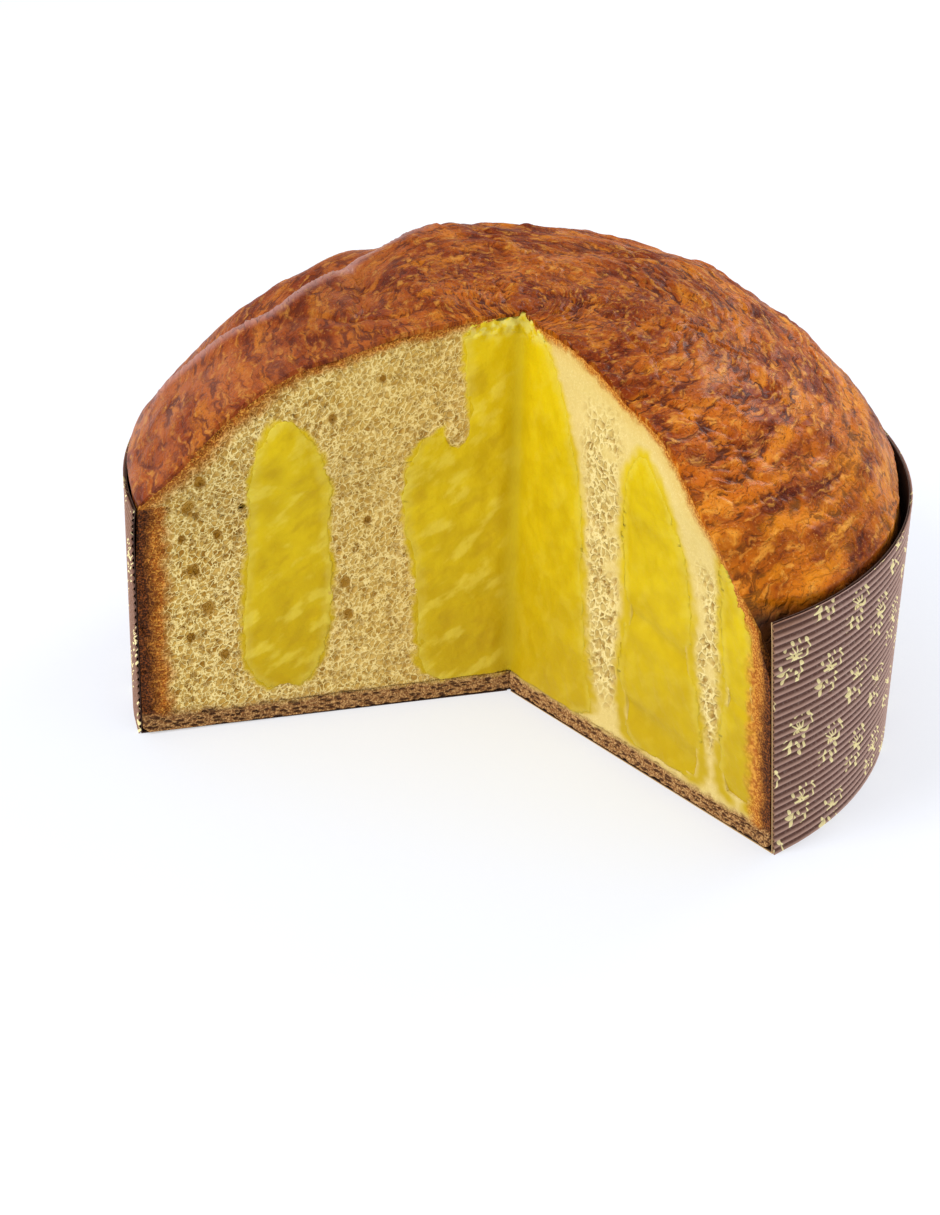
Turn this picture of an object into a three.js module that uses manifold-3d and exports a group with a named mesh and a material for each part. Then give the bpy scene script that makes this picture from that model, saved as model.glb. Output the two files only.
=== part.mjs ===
// A low round panettone in its baking case, cut open by one wide wedge, with its custard cream showing.
// Millimetres, +Z up. The loaf's axis is x = 0, y = 0 while the pieces are made. At the end the whole
// group is moved so that its origin is the bottom centre of its box.
import * as THREE from 'three';
import { mergeVertices } from 'three/addons/utils/BufferGeometryUtils.js';
import Module from 'manifold-3d';

const wasm = await Module();
wasm.setup();

// Driving dimensions of the case: the usual low paper mould for a one kilogram loaf.
const CASE_DIAMETER = 210;
const CASE_HEIGHT = 70;
const PAPER = 1;
const CASE_RADIUS = CASE_DIAMETER / 2;

// Pieces that touch keep this gap, so that each stays a body of its own.
const GAP = 0.3;

// The loaf inside the case, and the dome that rose above the rim. The dome leans up towards the back.
const WALL_CLEARANCE = 0.6;
const LOAF_RADIUS = CASE_RADIUS - PAPER - WALL_CLEARANCE;
const LOAF_BASE = PAPER + GAP;
const BASE_ROUNDING = 3;
const ROUNDING_STEP = 0.3;
const DOME_RISE = 44.6;
const DOME_LEAN_X = -0.02;
const DOME_LEAN_Y = 0.204;
const DOME_FULLNESS = 3.46;
const RELIEF_FADE = 12;
const SHOULDER_TUCK = 1.2;
const SHOULDER_DROP = 7;

// The wedge is cut from this point, just in front of the axis. Both knife cuts lean a little.
const CUT_APEX_Y = -3;
const RIGHT_CUT = { foot: -48.9, lean: -0.063, leanTop: 70, swing: -3.3, swingFrom: 68, swingTo: 90 };
const LEFT_CUT = { foot: 196.5, lean: 0, leanTop: 70, swing: 4.9, swingFrom: 58, swingTo: 84 };
const CASE_LEFT_TRIM = -2.5;
const CUT_LEVELS = [-6, 0, 30, 58, 63, 68, 73, 78, 84, 90, 126];

// The cutting wedge reaches past the loaf: its two sides, and the corner between them.
const WEDGE_REACH = CASE_RADIUS * 1.25;
const WEDGE_CORNER_REACH = CASE_RADIUS * 1.9;

// How finely the round forms are divided.
const SIDES = 108;
const DOME_RINGS = 20;
const WALL_RINGS = 3;
const CREAM_SIDES = 20;
const CREAM_RINGS = 11;
const CORE_SIDES = 32;
const CORE_RINGS = 17;
const NUB_SIDES = 16;
const NUB_RINGS = 10;

// Places where the crust shrank away from the paper at the rim: angle and width in degrees,
// depth, height and reach in millimetres. They are full outside SHRINK_FULL, and gone inside SHRINK_FROM.
const SHRINK_FROM = 60;
const SHRINK_FULL = 95;
const SHRINKS = [
  { angle: -57, width: 8, depth: 9.5, height: 72, reach: 9 },
  { angle: 201, width: 9, depth: 2.6, height: 73, reach: 9 },
  { angle: -5, width: 14, depth: 1.8, height: 71, reach: 9 },
];

// Folds of the crust, each along a curve seen from above: a ridge stands up, a crease sinks in.
const FOLDS = [
  { rise: 2.4, width: 6, path: [[-101, 9], [-80, 6], [-63, 7], [-56, 15], [-47, 26], [-36, 34], [-20, 45]] },
  { rise: -2.2, width: 5, path: [[-99, 20], [-80, 18], [-66, 19], [-56, 29], [-45, 38]] },
  { rise: 1.8, width: 6, path: [[-92, 32], [-76, 32], [-62, 38], [-48, 50], [-30, 58]] },
  { rise: -1.3, width: 4, path: [[-47, 24], [-42, 12], [-41, 3], [-45, -5]] },
  { rise: 1.6, width: 7, path: [[-58, 6], [-54, -6], [-47, -12]] },
  { rise: 1.2, width: 5, path: [[-18, 33], [-6, 36], [3, 28]] },
  { rise: 1.5, width: 5, path: [[25, -12], [29, -21], [32, -34]] },
  { rise: 1.3, width: 6, path: [[41, 2], [49, -6], [58, -15]] },
  { rise: -1.1, width: 5, path: [[40, 12], [52, 6], [62, -4]] },
  { rise: 1.3, width: 6, path: [[51, -37], [62, -33], [76, -29], [88, -30]] },
  { rise: -1.2, width: 6, path: [[60, 20], [74, 12], [86, -2]] },
  { rise: 1.7, width: 8, path: [[-52, 66], [-30, 76], [-6, 80], [18, 76]] },
  { rise: -1.5, width: 7, path: [[-40, 56], [-18, 64], [6, 66], [30, 58]] },
  { rise: 1.4, width: 7, path: [[36, 34], [48, 44], [54, 60], [50, 76]] },
];

// Slow swells over the whole dome: waves round the loaf, waves from the centre out, and height.
const SWELLS = [
  { around: 2, outward: 1.2, turn: 0.4, height: 0.9 },
  { around: 3, outward: 2.1, turn: 1.9, height: 0.7 },
  { around: 5, outward: 2.6, turn: 3.1, height: 0.5 },
  { around: 7, outward: 4.2, turn: 5.0, height: 0.35 },
];

// The cream core fills the middle of the loaf: height, reach on the left cut, reach on the right cut.
const CORE_OUTLINE = [
  [6.5, 20, 27],
  [9, 24, 33],
  [13, 25.5, 33],
  [27, 26.5, 29.8],
  [41, 26.6, 28.8],
  [54, 30, 27.6],
  [64, 30.7, 27.2],
  [74, 29.7, 26],
  [80.5, 27, 25.2],
  [84.5, 20.5, 24],
  [87.5, 14.2, 23],
  [94, 14.3, 20.8],
  [103, 15, 14.8],
  [109, 15.9, 10.4],
  [112, 14, 7.8],
  [113.6, 7.5, 6.2],
  [114.4, 5, 5.6],
  [115, 3.4, 3.6],
];

// Round the back the core's reach goes over from the right cut's to the left cut's between the first two
// angles, and back again across the wedge between the last two.
const CORE_TURN = { start: -55, back: [-30, 175], front: [215, 290] };

// A nub of crumb hangs into the core on the left cut, under the crust.
const NUB = { out: 17.6, height: 83.4, halfWidth: 3.4, halfDepth: 4, halfHeight: 5.4 };

// Injected pockets of cream: height, then the near and the far side along the cut. Each runs back
// into the loaf by its depth, less where it is narrow.
const NARROW_DEPTH_POWER = 0.6;
const LEFT_POCKET = {
  depth: 30,
  outline: [
    [11, 60, 68], [14, 56, 72], [22, 53.2, 74], [32, 52, 74.2], [45, 51.3, 73.4], [54, 52.6, 72.7],
    [66, 52.1, 72.4], [76, 54.4, 72.6], [83, 56.6, 71.8], [88.5, 60.6, 69], [91, 63.4, 66.4],
  ],
};
const MIDDLE_POCKET = {
  depth: 30,
  outline: [
    [7.6, 52, 72], [9.5, 48, 75.4], [14, 46, 76.3], [22, 45, 75.6], [33, 45, 73.6], [47, 46.9, 71.5],
    [62, 45.8, 70.6], [75, 46.1, 68], [86, 47.8, 65.2], [91.6, 50.6, 60], [95, 53.4, 55.6],
  ],
};
const OUTER_POCKET = {
  depth: 22,
  outline: [
    [9, 86, 92.5], [11, 83.6, 94.8], [16, 82.6, 95.8], [27, 83.6, 96.4], [45, 84.3, 95.8],
    [61, 83.6, 93.2], [69, 84, 89.6], [75, 84.4, 87], [79.5, 85, 85.8],
  ],
};

const CRUST_COLOUR = '#8a3d14';
const CREAM_COLOUR = '#d9bf2e';
const PAPER_COLOUR = '#7d5245';
const CRUST_ROUGHNESS = 0.55;
const CREAM_ROUGHNESS = 0.35;
const PAPER_ROUGHNESS = 0.7;

const radians = THREE.MathUtils.degToRad;

// Angle of a cut face at a height, in radians.
function cutAngle(cut, z) {
  const lean = cut.lean * THREE.MathUtils.clamp(z, 0, cut.leanTop);
  const swing = cut.swing * THREE.MathUtils.smoothstep(z, cut.swingFrom, cut.swingTo);
  return radians(cut.foot + lean + swing);
}

// The signed difference of two angles in degrees, from -180 to 180.
function turnBetween(a, b) {
  return THREE.MathUtils.euclideanModulo(a - b + 180, 360) - 180;
}

// Makes a closed surface from rings of points, all with the same number of points. The first and the
// last ring are closed by a fan to their middle. Rings run anticlockwise seen from above, bottom first.
function stackRings(rings) {
  const sides = rings[0].length;
  const positions = rings.flat().flatMap((point) => [point.x, point.y, point.z]);
  const faces = [];
  for (let ring = 0; ring + 1 < rings.length; ring += 1) {
    for (let side = 0; side < sides; side += 1) {
      const next = (side + 1) % sides;
      const low = ring * sides;
      const high = low + sides;
      faces.push(low + side, low + next, high + next);
      faces.push(low + side, high + next, high + side);
    }
  }
  [rings[0], rings[rings.length - 1]].forEach((ring, end) => {
    const middle = new THREE.Vector3();
    ring.forEach((point) => middle.addScaledVector(point, 1 / sides));
    const centre = positions.length / 3;
    positions.push(middle.x, middle.y, middle.z);
    const first = end === 0 ? 0 : (rings.length - 1) * sides;
    for (let side = 0; side < sides; side += 1) {
      const next = (side + 1) % sides;
      if (end === 0) {
        faces.push(centre, first + next, first + side);
      } else {
        faces.push(centre, first + side, first + next);
      }
    }
  });
  const geometry = new THREE.BufferGeometry();
  geometry.setAttribute('position', new THREE.Float32BufferAttribute(positions, 3));
  geometry.setIndex(faces);
  return geometry;
}

// Solids for cutting and joining.
function toSolid(geometry) {
  const bare = geometry.clone();
  bare.deleteAttribute('normal');
  bare.deleteAttribute('uv');
  const merged = mergeVertices(bare, 1e-4);
  const vertProperties = new Float32Array(merged.attributes.position.array);
  const triVerts = new Uint32Array(merged.index.array);
  return new wasm.Manifold(new wasm.Mesh({ numProp: 3, vertProperties, triVerts }));
}

function toGeometry(solid) {
  const mesh = solid.getMesh();
  const geometry = new THREE.BufferGeometry();
  geometry.setAttribute('position', new THREE.BufferAttribute(mesh.vertProperties, 3));
  geometry.setIndex(new THREE.BufferAttribute(mesh.triVerts, 1));
  geometry.computeVertexNormals();
  return geometry;
}

// The missing wedge as a solid, a little larger than the loaf. leftTrim turns the left cut, in degrees.
function wedge(leftTrim) {
  const rings = [];
  for (const z of CUT_LEVELS) {
    const left = cutAngle(LEFT_CUT, z) + radians(leftTrim);
    const right = cutAngle(RIGHT_CUT, z) + 2 * Math.PI;
    const corner = (angle, length) => new THREE.Vector3(
      length * Math.cos(angle),
      CUT_APEX_Y + length * Math.sin(angle),
      z,
    );
    rings.push([
      new THREE.Vector3(0, CUT_APEX_Y, z),
      corner(left, WEDGE_REACH),
      corner((left + right) / 2, WEDGE_CORNER_REACH),
      corner(right, WEDGE_REACH),
    ]);
  }
  return toSolid(stackRings(rings));
}

// Height of the smooth dome over a point of the plan.
function domeHeight(x, y) {
  const out = Math.min(Math.hypot(x, y) / CASE_RADIUS, 1);
  const lean = 1 + DOME_LEAN_X * (x / CASE_RADIUS) + DOME_LEAN_Y * (y / CASE_RADIUS);
  return CASE_HEIGHT + DOME_RISE * lean * (1 - out ** DOME_FULLNESS);
}

// The folds as points along their curves.
const FOLD_STEPS = 36;
const foldLines = FOLDS.map((fold) => {
  const curve = new THREE.SplineCurve(fold.path.map(([x, y]) => new THREE.Vector2(x, y)));
  return { ...fold, points: curve.getPoints(FOLD_STEPS) };
});

// Relief of the crust over a point of the plan: folds, creases and slow swells.
function crustRelief(x, y) {
  let relief = 0;
  for (const fold of foldLines) {
    let nearest = Infinity;
    for (const point of fold.points) {
      nearest = Math.min(nearest, Math.hypot(point.x - x, point.y - y));
    }
    relief += fold.rise * Math.exp(-((nearest / fold.width) ** 2));
  }
  const angle = Math.atan2(y, x);
  const out = Math.hypot(x, y) / CASE_RADIUS;
  for (const swell of SWELLS) {
    const wave = Math.sin(swell.around * angle + swell.turn + 2 * Math.PI * swell.outward * out);
    relief += swell.height * wave * Math.min(1, 3 * out);
  }
  return relief;
}

// How far the crust stands back from the paper at an angle in degrees and a height.
function shrink(angle, z) {
  const tuck = SHOULDER_TUCK * THREE.MathUtils.smoothstep(z, CASE_HEIGHT - SHOULDER_DROP, CASE_HEIGHT);
  return SHRINKS.reduce((sum, place) => {
    const across = turnBetween(angle, place.angle) / place.width;
    const up = (z - place.height) / place.reach;
    return sum + place.depth * Math.exp(-(across ** 2) - up ** 2);
  }, tuck);
}

// The whole loaf before it is cut: base, side wall inside the case, shoulder and dome.
function loafGeometry() {
  const profile = [
    { out: LOAF_RADIUS - BASE_ROUNDING, z: LOAF_BASE },
    { out: LOAF_RADIUS - BASE_ROUNDING * ROUNDING_STEP, z: LOAF_BASE + BASE_ROUNDING * ROUNDING_STEP },
  ];
  for (let ring = 0; ring <= WALL_RINGS; ring += 1) {
    const wallBottom = LOAF_BASE + BASE_ROUNDING;
    const wallTop = CASE_HEIGHT - SHOULDER_DROP;
    profile.push({ out: LOAF_RADIUS, z: wallBottom + ((wallTop - wallBottom) * ring) / WALL_RINGS });
  }
  const rings = profile.map(({ out, z }) => ringOfLoaf(() => ({ out, z })));
  for (let ring = 0; ring < DOME_RINGS; ring += 1) {
    const share = (Math.PI / 2) * (1 - ring / DOME_RINGS);
    rings.push(ringOfLoaf((angle) => {
      const out = LOAF_RADIUS * Math.sin(share);
      const x = out * Math.cos(angle);
      const y = out * Math.sin(angle);
      const fade = THREE.MathUtils.smoothstep(CASE_RADIUS - out, 0, RELIEF_FADE);
      return { out, z: domeHeight(x, y) + fade * crustRelief(x, y) };
    }));
  }
  return stackRings(rings);
}

function ringOfLoaf(place) {
  const ring = [];
  for (let side = 0; side < SIDES; side += 1) {
    const angle = (2 * Math.PI * side) / SIDES;
    const { out, z } = place(angle);
    const outer = THREE.MathUtils.smoothstep(out, SHRINK_FROM, SHRINK_FULL);
    const back = outer * shrink(THREE.MathUtils.radToDeg(angle), z);
    ring.push(new THREE.Vector3((out - back) * Math.cos(angle), (out - back) * Math.sin(angle), z));
  }
  return ring;
}

// The case: a flat disc and a straight wall, in one piece of paper.
function caseGeometry() {
  const inside = CASE_RADIUS - PAPER;
  const profile = [
    new THREE.Vector2(0, 0),
    new THREE.Vector2(CASE_RADIUS, 0),
    new THREE.Vector2(CASE_RADIUS, CASE_HEIGHT),
    new THREE.Vector2(inside, CASE_HEIGHT),
    new THREE.Vector2(inside, PAPER),
    new THREE.Vector2(0, PAPER),
  ];
  return new THREE.LatheGeometry(profile, SIDES).rotateX(Math.PI / 2);
}

// Points of a smooth curve through rows of three numbers, the first of them a height.
function smoothRows(outline, count) {
  const curve = new THREE.CatmullRomCurve3(outline.map(([z, near, far]) => new THREE.Vector3(near, far, z)));
  return curve.getPoints(count).map((point) => ({ z: point.z, near: point.x, far: point.y }));
}

// How far a row of a hollow is raised so that the hollow stands clear of its cream below and above.
function liftOf(index, rows, grow) {
  if (index === 0) {
    return -grow;
  }
  return index === rows.length - 1 ? grow : 0;
}

// The core, round the line that the two cuts share. Its reach changes smoothly from one cut to the
// other round the back. grow widens it, for the hollow it lies in.
function coreGeometry(grow) {
  const rows = smoothRows(CORE_OUTLINE, CORE_RINGS);
  const rings = rows.map(({ z, near: left, far: right }, index) => {
    const lift = liftOf(index, rows, grow);
    const ring = [];
    for (let side = 0; side < CORE_SIDES; side += 1) {
      const angle = CORE_TURN.start + (360 * side) / CORE_SIDES;
      const behind = THREE.MathUtils.smoothstep(angle, ...CORE_TURN.back);
      const ahead = THREE.MathUtils.smoothstep(angle, ...CORE_TURN.front);
      const reach = THREE.MathUtils.lerp(right, left, behind - ahead) + grow;
      ring.push(new THREE.Vector3(
        reach * Math.cos(radians(angle)),
        CUT_APEX_Y + reach * Math.sin(radians(angle)),
        z + lift,
      ));
    }
    return ring;
  });
  return stackRings(rings);
}

// A point beside a cut face: out along the cut, and back into the loaf.
function besideCut(cut, z, out, back) {
  const angle = cutAngle(cut, z);
  const inward = cut === RIGHT_CUT ? angle + Math.PI / 2 : angle - Math.PI / 2;
  return new THREE.Vector3(
    out * Math.cos(angle) + back * Math.cos(inward),
    CUT_APEX_Y + out * Math.sin(angle) + back * Math.sin(inward),
    z,
  );
}

// A pocket of cream: an upright lens, half of it behind the cut face.
function pocketGeometry(cut, pocket, grow) {
  const rows = smoothRows(pocket.outline, CREAM_RINGS);
  const widest = Math.max(...rows.map(({ near, far }) => far - near));
  const rings = rows.map(({ z, near, far }, index) => {
    const lift = liftOf(index, rows, grow);
    const halfWidth = (far - near) / 2 + grow;
    const depth = pocket.depth * ((far - near) / widest) ** NARROW_DEPTH_POWER + grow;
    const ring = [];
    for (let side = 0; side < CREAM_SIDES; side += 1) {
      const angle = (2 * Math.PI * side) / CREAM_SIDES;
      const out = (near + far) / 2 + halfWidth * Math.cos(angle);
      ring.push(besideCut(cut, z + lift, out, depth * Math.sin(angle)));
    }
    return cut === RIGHT_CUT ? ring : ring.reverse();
  });
  return stackRings(rings);
}

function nubGeometry(grow) {
  const angle = cutAngle(LEFT_CUT, NUB.height);
  const middle = besideCut(LEFT_CUT, NUB.height, NUB.out, 0);
  return new THREE.SphereGeometry(1, NUB_SIDES, NUB_RINGS)
    .rotateX(Math.PI / 2)
    .scale(NUB.halfWidth + grow, NUB.halfDepth + grow, NUB.halfHeight + grow)
    .rotateZ(angle)
    .translate(middle.x, middle.y, middle.z);
}

// Sub-parts.
const cut = wedge(0);
const group = new THREE.Group();

function addPiece(name, solid, colour, roughness) {
  const material = new THREE.MeshStandardMaterial({ color: colour, roughness, metalness: 0 });
  const mesh = new THREE.Mesh(toGeometry(solid), material);
  mesh.name = name;
  group.add(mesh);
}

function makeCore(grow) {
  return toSolid(coreGeometry(grow)).subtract(toSolid(nubGeometry(GAP - grow)));
}

const pockets = [
  { name: 'cream_left', cut: LEFT_CUT, shape: LEFT_POCKET },
  { name: 'cream_middle', cut: RIGHT_CUT, shape: MIDDLE_POCKET },
  { name: 'cream_outer', cut: RIGHT_CUT, shape: OUTER_POCKET },
];

function addLoaf() {
  const hollows = pockets.map((pocket) => toSolid(pocketGeometry(pocket.cut, pocket.shape, GAP)));
  const loaf = [makeCore(GAP), ...hollows].reduce(
    (rest, hollow) => rest.subtract(hollow),
    toSolid(loafGeometry()),
  );
  addPiece('loaf', loaf.subtract(cut), CRUST_COLOUR, CRUST_ROUGHNESS);
}

function addCreams() {
  addPiece('cream_core', makeCore(0).subtract(cut), CREAM_COLOUR, CREAM_ROUGHNESS);
  for (const pocket of pockets) {
    const cream = toSolid(pocketGeometry(pocket.cut, pocket.shape, 0));
    addPiece(pocket.name, cream.subtract(cut), CREAM_COLOUR, CREAM_ROUGHNESS);
  }
}

function addCase() {
  const paper = toSolid(caseGeometry()).subtract(wedge(CASE_LEFT_TRIM));
  addPiece('paper_case', paper, PAPER_COLOUR, PAPER_ROUGHNESS);
}

addLoaf();
addCreams();
addCase();

// Stand the group on the bottom centre of its box.
const box = new THREE.Box3().setFromObject(group);
group.position.set(-(box.min.x + box.max.x) / 2, -(box.min.y + box.max.y) / 2, -box.min.z);

export default group;
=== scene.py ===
# A low round panettone in its paper case, cut open by one wide wedge, filled with custard cream.
# Shapes are worked out in millimetres from the loaf's own upright axis, and each finished mesh is then
# turned into metres. The cuts meet on a line just in front of that axis, which is called the apex here.
import math

import bmesh
import bpy
import numpy as np
from mathutils import Matrix, Vector, noise


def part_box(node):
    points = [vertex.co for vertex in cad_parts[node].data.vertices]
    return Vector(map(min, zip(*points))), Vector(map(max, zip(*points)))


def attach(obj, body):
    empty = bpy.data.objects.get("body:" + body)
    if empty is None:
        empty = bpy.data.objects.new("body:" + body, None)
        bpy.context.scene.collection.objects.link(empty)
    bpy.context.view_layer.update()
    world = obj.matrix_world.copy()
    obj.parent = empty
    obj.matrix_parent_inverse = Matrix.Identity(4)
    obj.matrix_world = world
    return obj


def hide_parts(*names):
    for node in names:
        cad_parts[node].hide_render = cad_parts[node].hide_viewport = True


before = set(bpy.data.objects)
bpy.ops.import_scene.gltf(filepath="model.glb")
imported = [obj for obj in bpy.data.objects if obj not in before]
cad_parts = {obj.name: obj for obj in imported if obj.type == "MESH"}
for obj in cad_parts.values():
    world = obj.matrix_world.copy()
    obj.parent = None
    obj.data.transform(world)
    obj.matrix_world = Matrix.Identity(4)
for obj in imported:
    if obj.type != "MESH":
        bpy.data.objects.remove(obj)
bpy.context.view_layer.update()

# The inner sheet of the case
# A smooth brown baking paper that lines the case: a flat floor and a straight wall. The loaf is baked
# in it, and one knife cuts loaf and case, so its two ends stand along the cuts.
MM = 0.001
case_low, case_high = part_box("paper_case")
CASE_RADIUS = (case_high.x - case_low.x) / 2 / MM
CASE_HEIGHT = (case_high.z - case_low.z) / MM
AXIS_Y = case_high.y / MM - CASE_RADIUS
APEX_Y = -3.0
LEAN_TOP = 70.0
# Each cut: its angle in degrees at the foot, how far it leans for each millimetre up to LEAN_TOP, how far it
# swings from one height to another, and which way the bread lies.
RIGHT_CUT = {"foot": -48.9, "lean": -0.063, "swing": -3.3, "from": 68.0, "to": 90.0, "inward": 1}
LEFT_CUT = {"foot": 196.5, "lean": 0.0, "swing": 4.9, "from": 58.0, "to": 84.0, "inward": -1}
CASE_LEFT_TRIM = math.radians(0.6)
LINER = 0.22
LINER_OUTSIDE = CASE_RADIUS - 0.8
CASE_COLUMNS = 96
CASE_END = 0.001
LINER_ROWS = 24
FLOOR_SHARE = 0.5
FLOOR_HOLE = 0.6
END_DEPTH = (0.1, 0.3)
SHARP = math.radians(75)
# An odd direction, along which no two points of a pattern stand level.
ORDER_ALONG = Vector((1.0, math.pi, 9 * math.e))


def smooth(value, low, high):
    """Goes gently from 0 at low to 1 at high."""
    share = np.clip((value - low) / (high - low), 0, 1)
    return share * share * (3 - 2 * share)


def lerp(start, end, share):
    return start + (end - start) * share


def cut_angle(cut, height):
    """The angle of a cut round the apex, at a height."""
    lean = cut["lean"] * np.clip(height, 0, LEAN_TOP)
    swing = cut["swing"] * smooth(height, cut["from"], cut["to"])
    return np.radians(cut["foot"] + lean + swing)


def from_apex(angle, out, height):
    """Points at an angle round the apex, this far out from it."""
    height = np.broadcast_to(height, np.shape(out * angle))
    return np.column_stack((out * np.cos(angle), APEX_Y + out * np.sin(angle), height))


def reach(angle, radius):
    """How far it is from the apex to a circle round the axis."""
    aside = APEX_Y * np.cos(angle)
    return np.sqrt(radius**2 - aside**2) - APEX_Y * np.sin(angle)


def points_of(mesh, what="co"):
    """The mesh's points, or the way that each faces where what is "normal"."""
    flat = np.empty(len(mesh.vertices) * 3, np.float32)
    mesh.vertices.foreach_get(what, flat)
    return flat.reshape(-1, 3).astype(float)


def move_points(mesh, points):
    mesh.vertices.foreach_set("co", points.astype(np.float32).ravel())
    mesh.update()


def mark(mesh, name, values):
    """Stores one number for each point, for a material to read."""
    layer = mesh.attributes.new(name, "FLOAT", "POINT")
    layer.data.foreach_set("value", np.asarray(values, np.float32))


def wrap(name, pattern, form):
    """Makes a mesh from a flat pattern. form turns the pattern's three coordinates into millimetres. Points
    and faces are put in order first, so that every run gives the same mesh."""
    pattern.verts.sort(key=lambda vert: vert.co.dot(ORDER_ALONG))
    pattern.faces.sort(key=lambda face: face.calc_center_median().dot(ORDER_ALONG))
    mesh = bpy.data.meshes.new(name)
    pattern.to_mesh(mesh)
    move_points(mesh, form(*points_of(mesh).T))
    pattern.clear()
    pattern.from_mesh(mesh)
    bmesh.ops.recalc_face_normals(pattern, faces=pattern.faces)
    for face in pattern.faces:
        face.smooth = True
    for edge in pattern.edges:
        edge.smooth = edge.calc_face_angle(0) < SHARP
    pattern.to_mesh(mesh)
    pattern.free()
    return mesh


def finished(name, mesh, material, slot, *nodes):
    """Puts a mesh made in millimetres in its place, in metres, as a piece that stands for CAD nodes."""
    move_points(mesh, (points_of(mesh) + (0, AXIS_Y, 0)) * MM)
    piece = bpy.data.objects.new(name, mesh)
    bpy.context.scene.collection.objects.link(piece)
    mesh.materials.clear()
    mesh.materials.append(material)
    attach(piece, "root")
    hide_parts(*nodes)
    return piece


def colour(red, green, blue):
    """A linear colour from red, green and blue as a screen shows them, 0 to 255."""
    parts = [part / 255 for part in (red, green, blue)]
    return tuple(p / 12.92 if p <= 0.04045 else ((p + 0.055) / 1.055) ** 2.4 for p in parts) + (1.0,)


class Shade:
    """A socket of a material's nodes that can be used in sums."""

    def __init__(self, tree, socket=None):
        self.tree = tree
        self.socket = socket

    def node(self, kind, settings=(), sockets=(), output=0):
        made = self.tree.nodes.new("ShaderNode" + kind)
        for key, value in dict(settings).items():
            setattr(made, key, value)
        for key, value in dict(sockets).items():
            if isinstance(value, Shade):
                self.tree.links.new(value.socket, made.inputs[key])
            else:
                made.inputs[key].default_value = value
        return Shade(self.tree, made.outputs[output])

    def maths(self, operation, first, second):
        return self.node("Math", {"operation": operation}, {0: first, 1: second})

    def __add__(self, other):
        return self.maths("ADD", self, other)

    def __radd__(self, other):
        return self.maths("ADD", other, self)

    def __sub__(self, other):
        return self.maths("SUBTRACT", self, other)

    def __rsub__(self, other):
        return self.maths("SUBTRACT", other, self)

    def __mul__(self, other):
        return self.maths("MULTIPLY", self, other)

    def __rmul__(self, other):
        return self.maths("MULTIPLY", other, self)

    def __truediv__(self, other):
        return self.maths("DIVIDE", self, other)

    def __pow__(self, other):
        return self.maths("POWER", self, other)

    def between(self, low, high):
        """Goes gently from 0 at low to 1 at high."""
        ends = {"Value": self, "From Min": low, "From Max": high}
        return self.node("MapRange", {"interpolation_type": "SMOOTHSTEP"}, ends)

    def pick(self, first, second):
        """A colour that goes from the first to the second as this goes from 0 to 1."""
        return self.node("Mix", {"data_type": "RGBA"}, {0: self, 6: first, 7: second}, 2)

    def marked(self, name):
        return self.node("Attribute", {"attribute_name": name}, output=2)

    def size(self):
        """The number without its sign."""
        return self.node("Math", {"operation": "ABSOLUTE"}, {0: self})

    def place(self):
        """Object coordinates in millimetres."""
        raw = self.node("TexCoord", output=3)
        return self.node("VectorMath", {"operation": "SCALE"}, {0: raw, "Scale": 1 / MM})

    def parts(self):
        place = self.place()
        return [self.node("SeparateXYZ", (), {0: place}, part) for part in range(3)]

    def vector(self, x, y, z):
        return self.node("CombineXYZ", (), {0: x, 1: y, 2: z})

    def clouds(self, size):
        """A vector that wanders slowly, with parts from -0.5 to 0.5."""
        noisy = self.node("TexNoise", (), {"Vector": self.place(), "Scale": 1 / size, "Detail": 2.0}, 1)
        return self.node("VectorMath", {"operation": "SUBTRACT"}, {0: noisy, 1: (0.5, 0.5, 0.5)})

    def add_vectors(self, first, second, share):
        """The first vector with this share of the second."""
        part = self.node("VectorMath", {"operation": "SCALE"}, {0: second, "Scale": share})
        return self.node("VectorMath", {"operation": "ADD"}, {0: first, 1: part})

    def grain(self, size, detail=2.0, place=None):
        """Noise from 0 to 1 whose bumps are of this size in millimetres."""
        at = place or self.place()
        return self.node("TexNoise", (), {"Vector": at, "Scale": 1 / size, "Detail": detail})

    def leaning(self, degrees, stretch):
        """Object coordinates in which a texture grows long by this factor, along a line that leans from
        upright to the right."""
        turn = (0.0, math.radians(degrees), 0.0)
        sockets = {"Vector": self.place(), "Rotation": turn, "Scale": (1, 1, stretch)}
        return self.node("Mapping", {"vector_type": "TEXTURE"}, sockets)

    def cells(self, size, place):
        """The way to the wall between cells of this size: 0 on a wall."""
        sockets = {"Vector": place, "Scale": 1 / size}
        return self.node("TexVoronoi", {"feature": "DISTANCE_TO_EDGE"}, sockets)

    def bump(self, height, distance, strength=1.0):
        sockets = {"Height": height, "Distance": distance * MM, "Strength": strength}
        return self.node("Bump", (), sockets)


def material_of(name, sockets):
    """A material and the start of its nodes, with plain numbers set on the shader's own sockets."""
    material = bpy.data.materials.new(name)
    material.use_nodes = True
    shader = material.node_tree.nodes["Principled BSDF"]
    for key, value in sockets.items():
        shader.inputs[key].default_value = value
    return material, Shade(material.node_tree)


def join(material, sockets):
    """Links worked-out values to the shader's sockets."""
    shader = material.node_tree.nodes["Principled BSDF"]
    for key, value in sockets.items():
        material.node_tree.links.new(value.socket, shader.inputs[key])


def closed_net(columns, rows):
    """A square net with a front and a back, to be wrapped into a thin sheet."""
    net = bmesh.new()
    made = bmesh.ops.create_grid(net, x_segments=columns, y_segments=rows, size=0.5)
    bmesh.ops.translate(net, vec=(0.5, 0.5, 0), verts=made["verts"])
    bmesh.ops.solidify(net, geom=net.faces[:], thickness=1)
    return net


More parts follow.
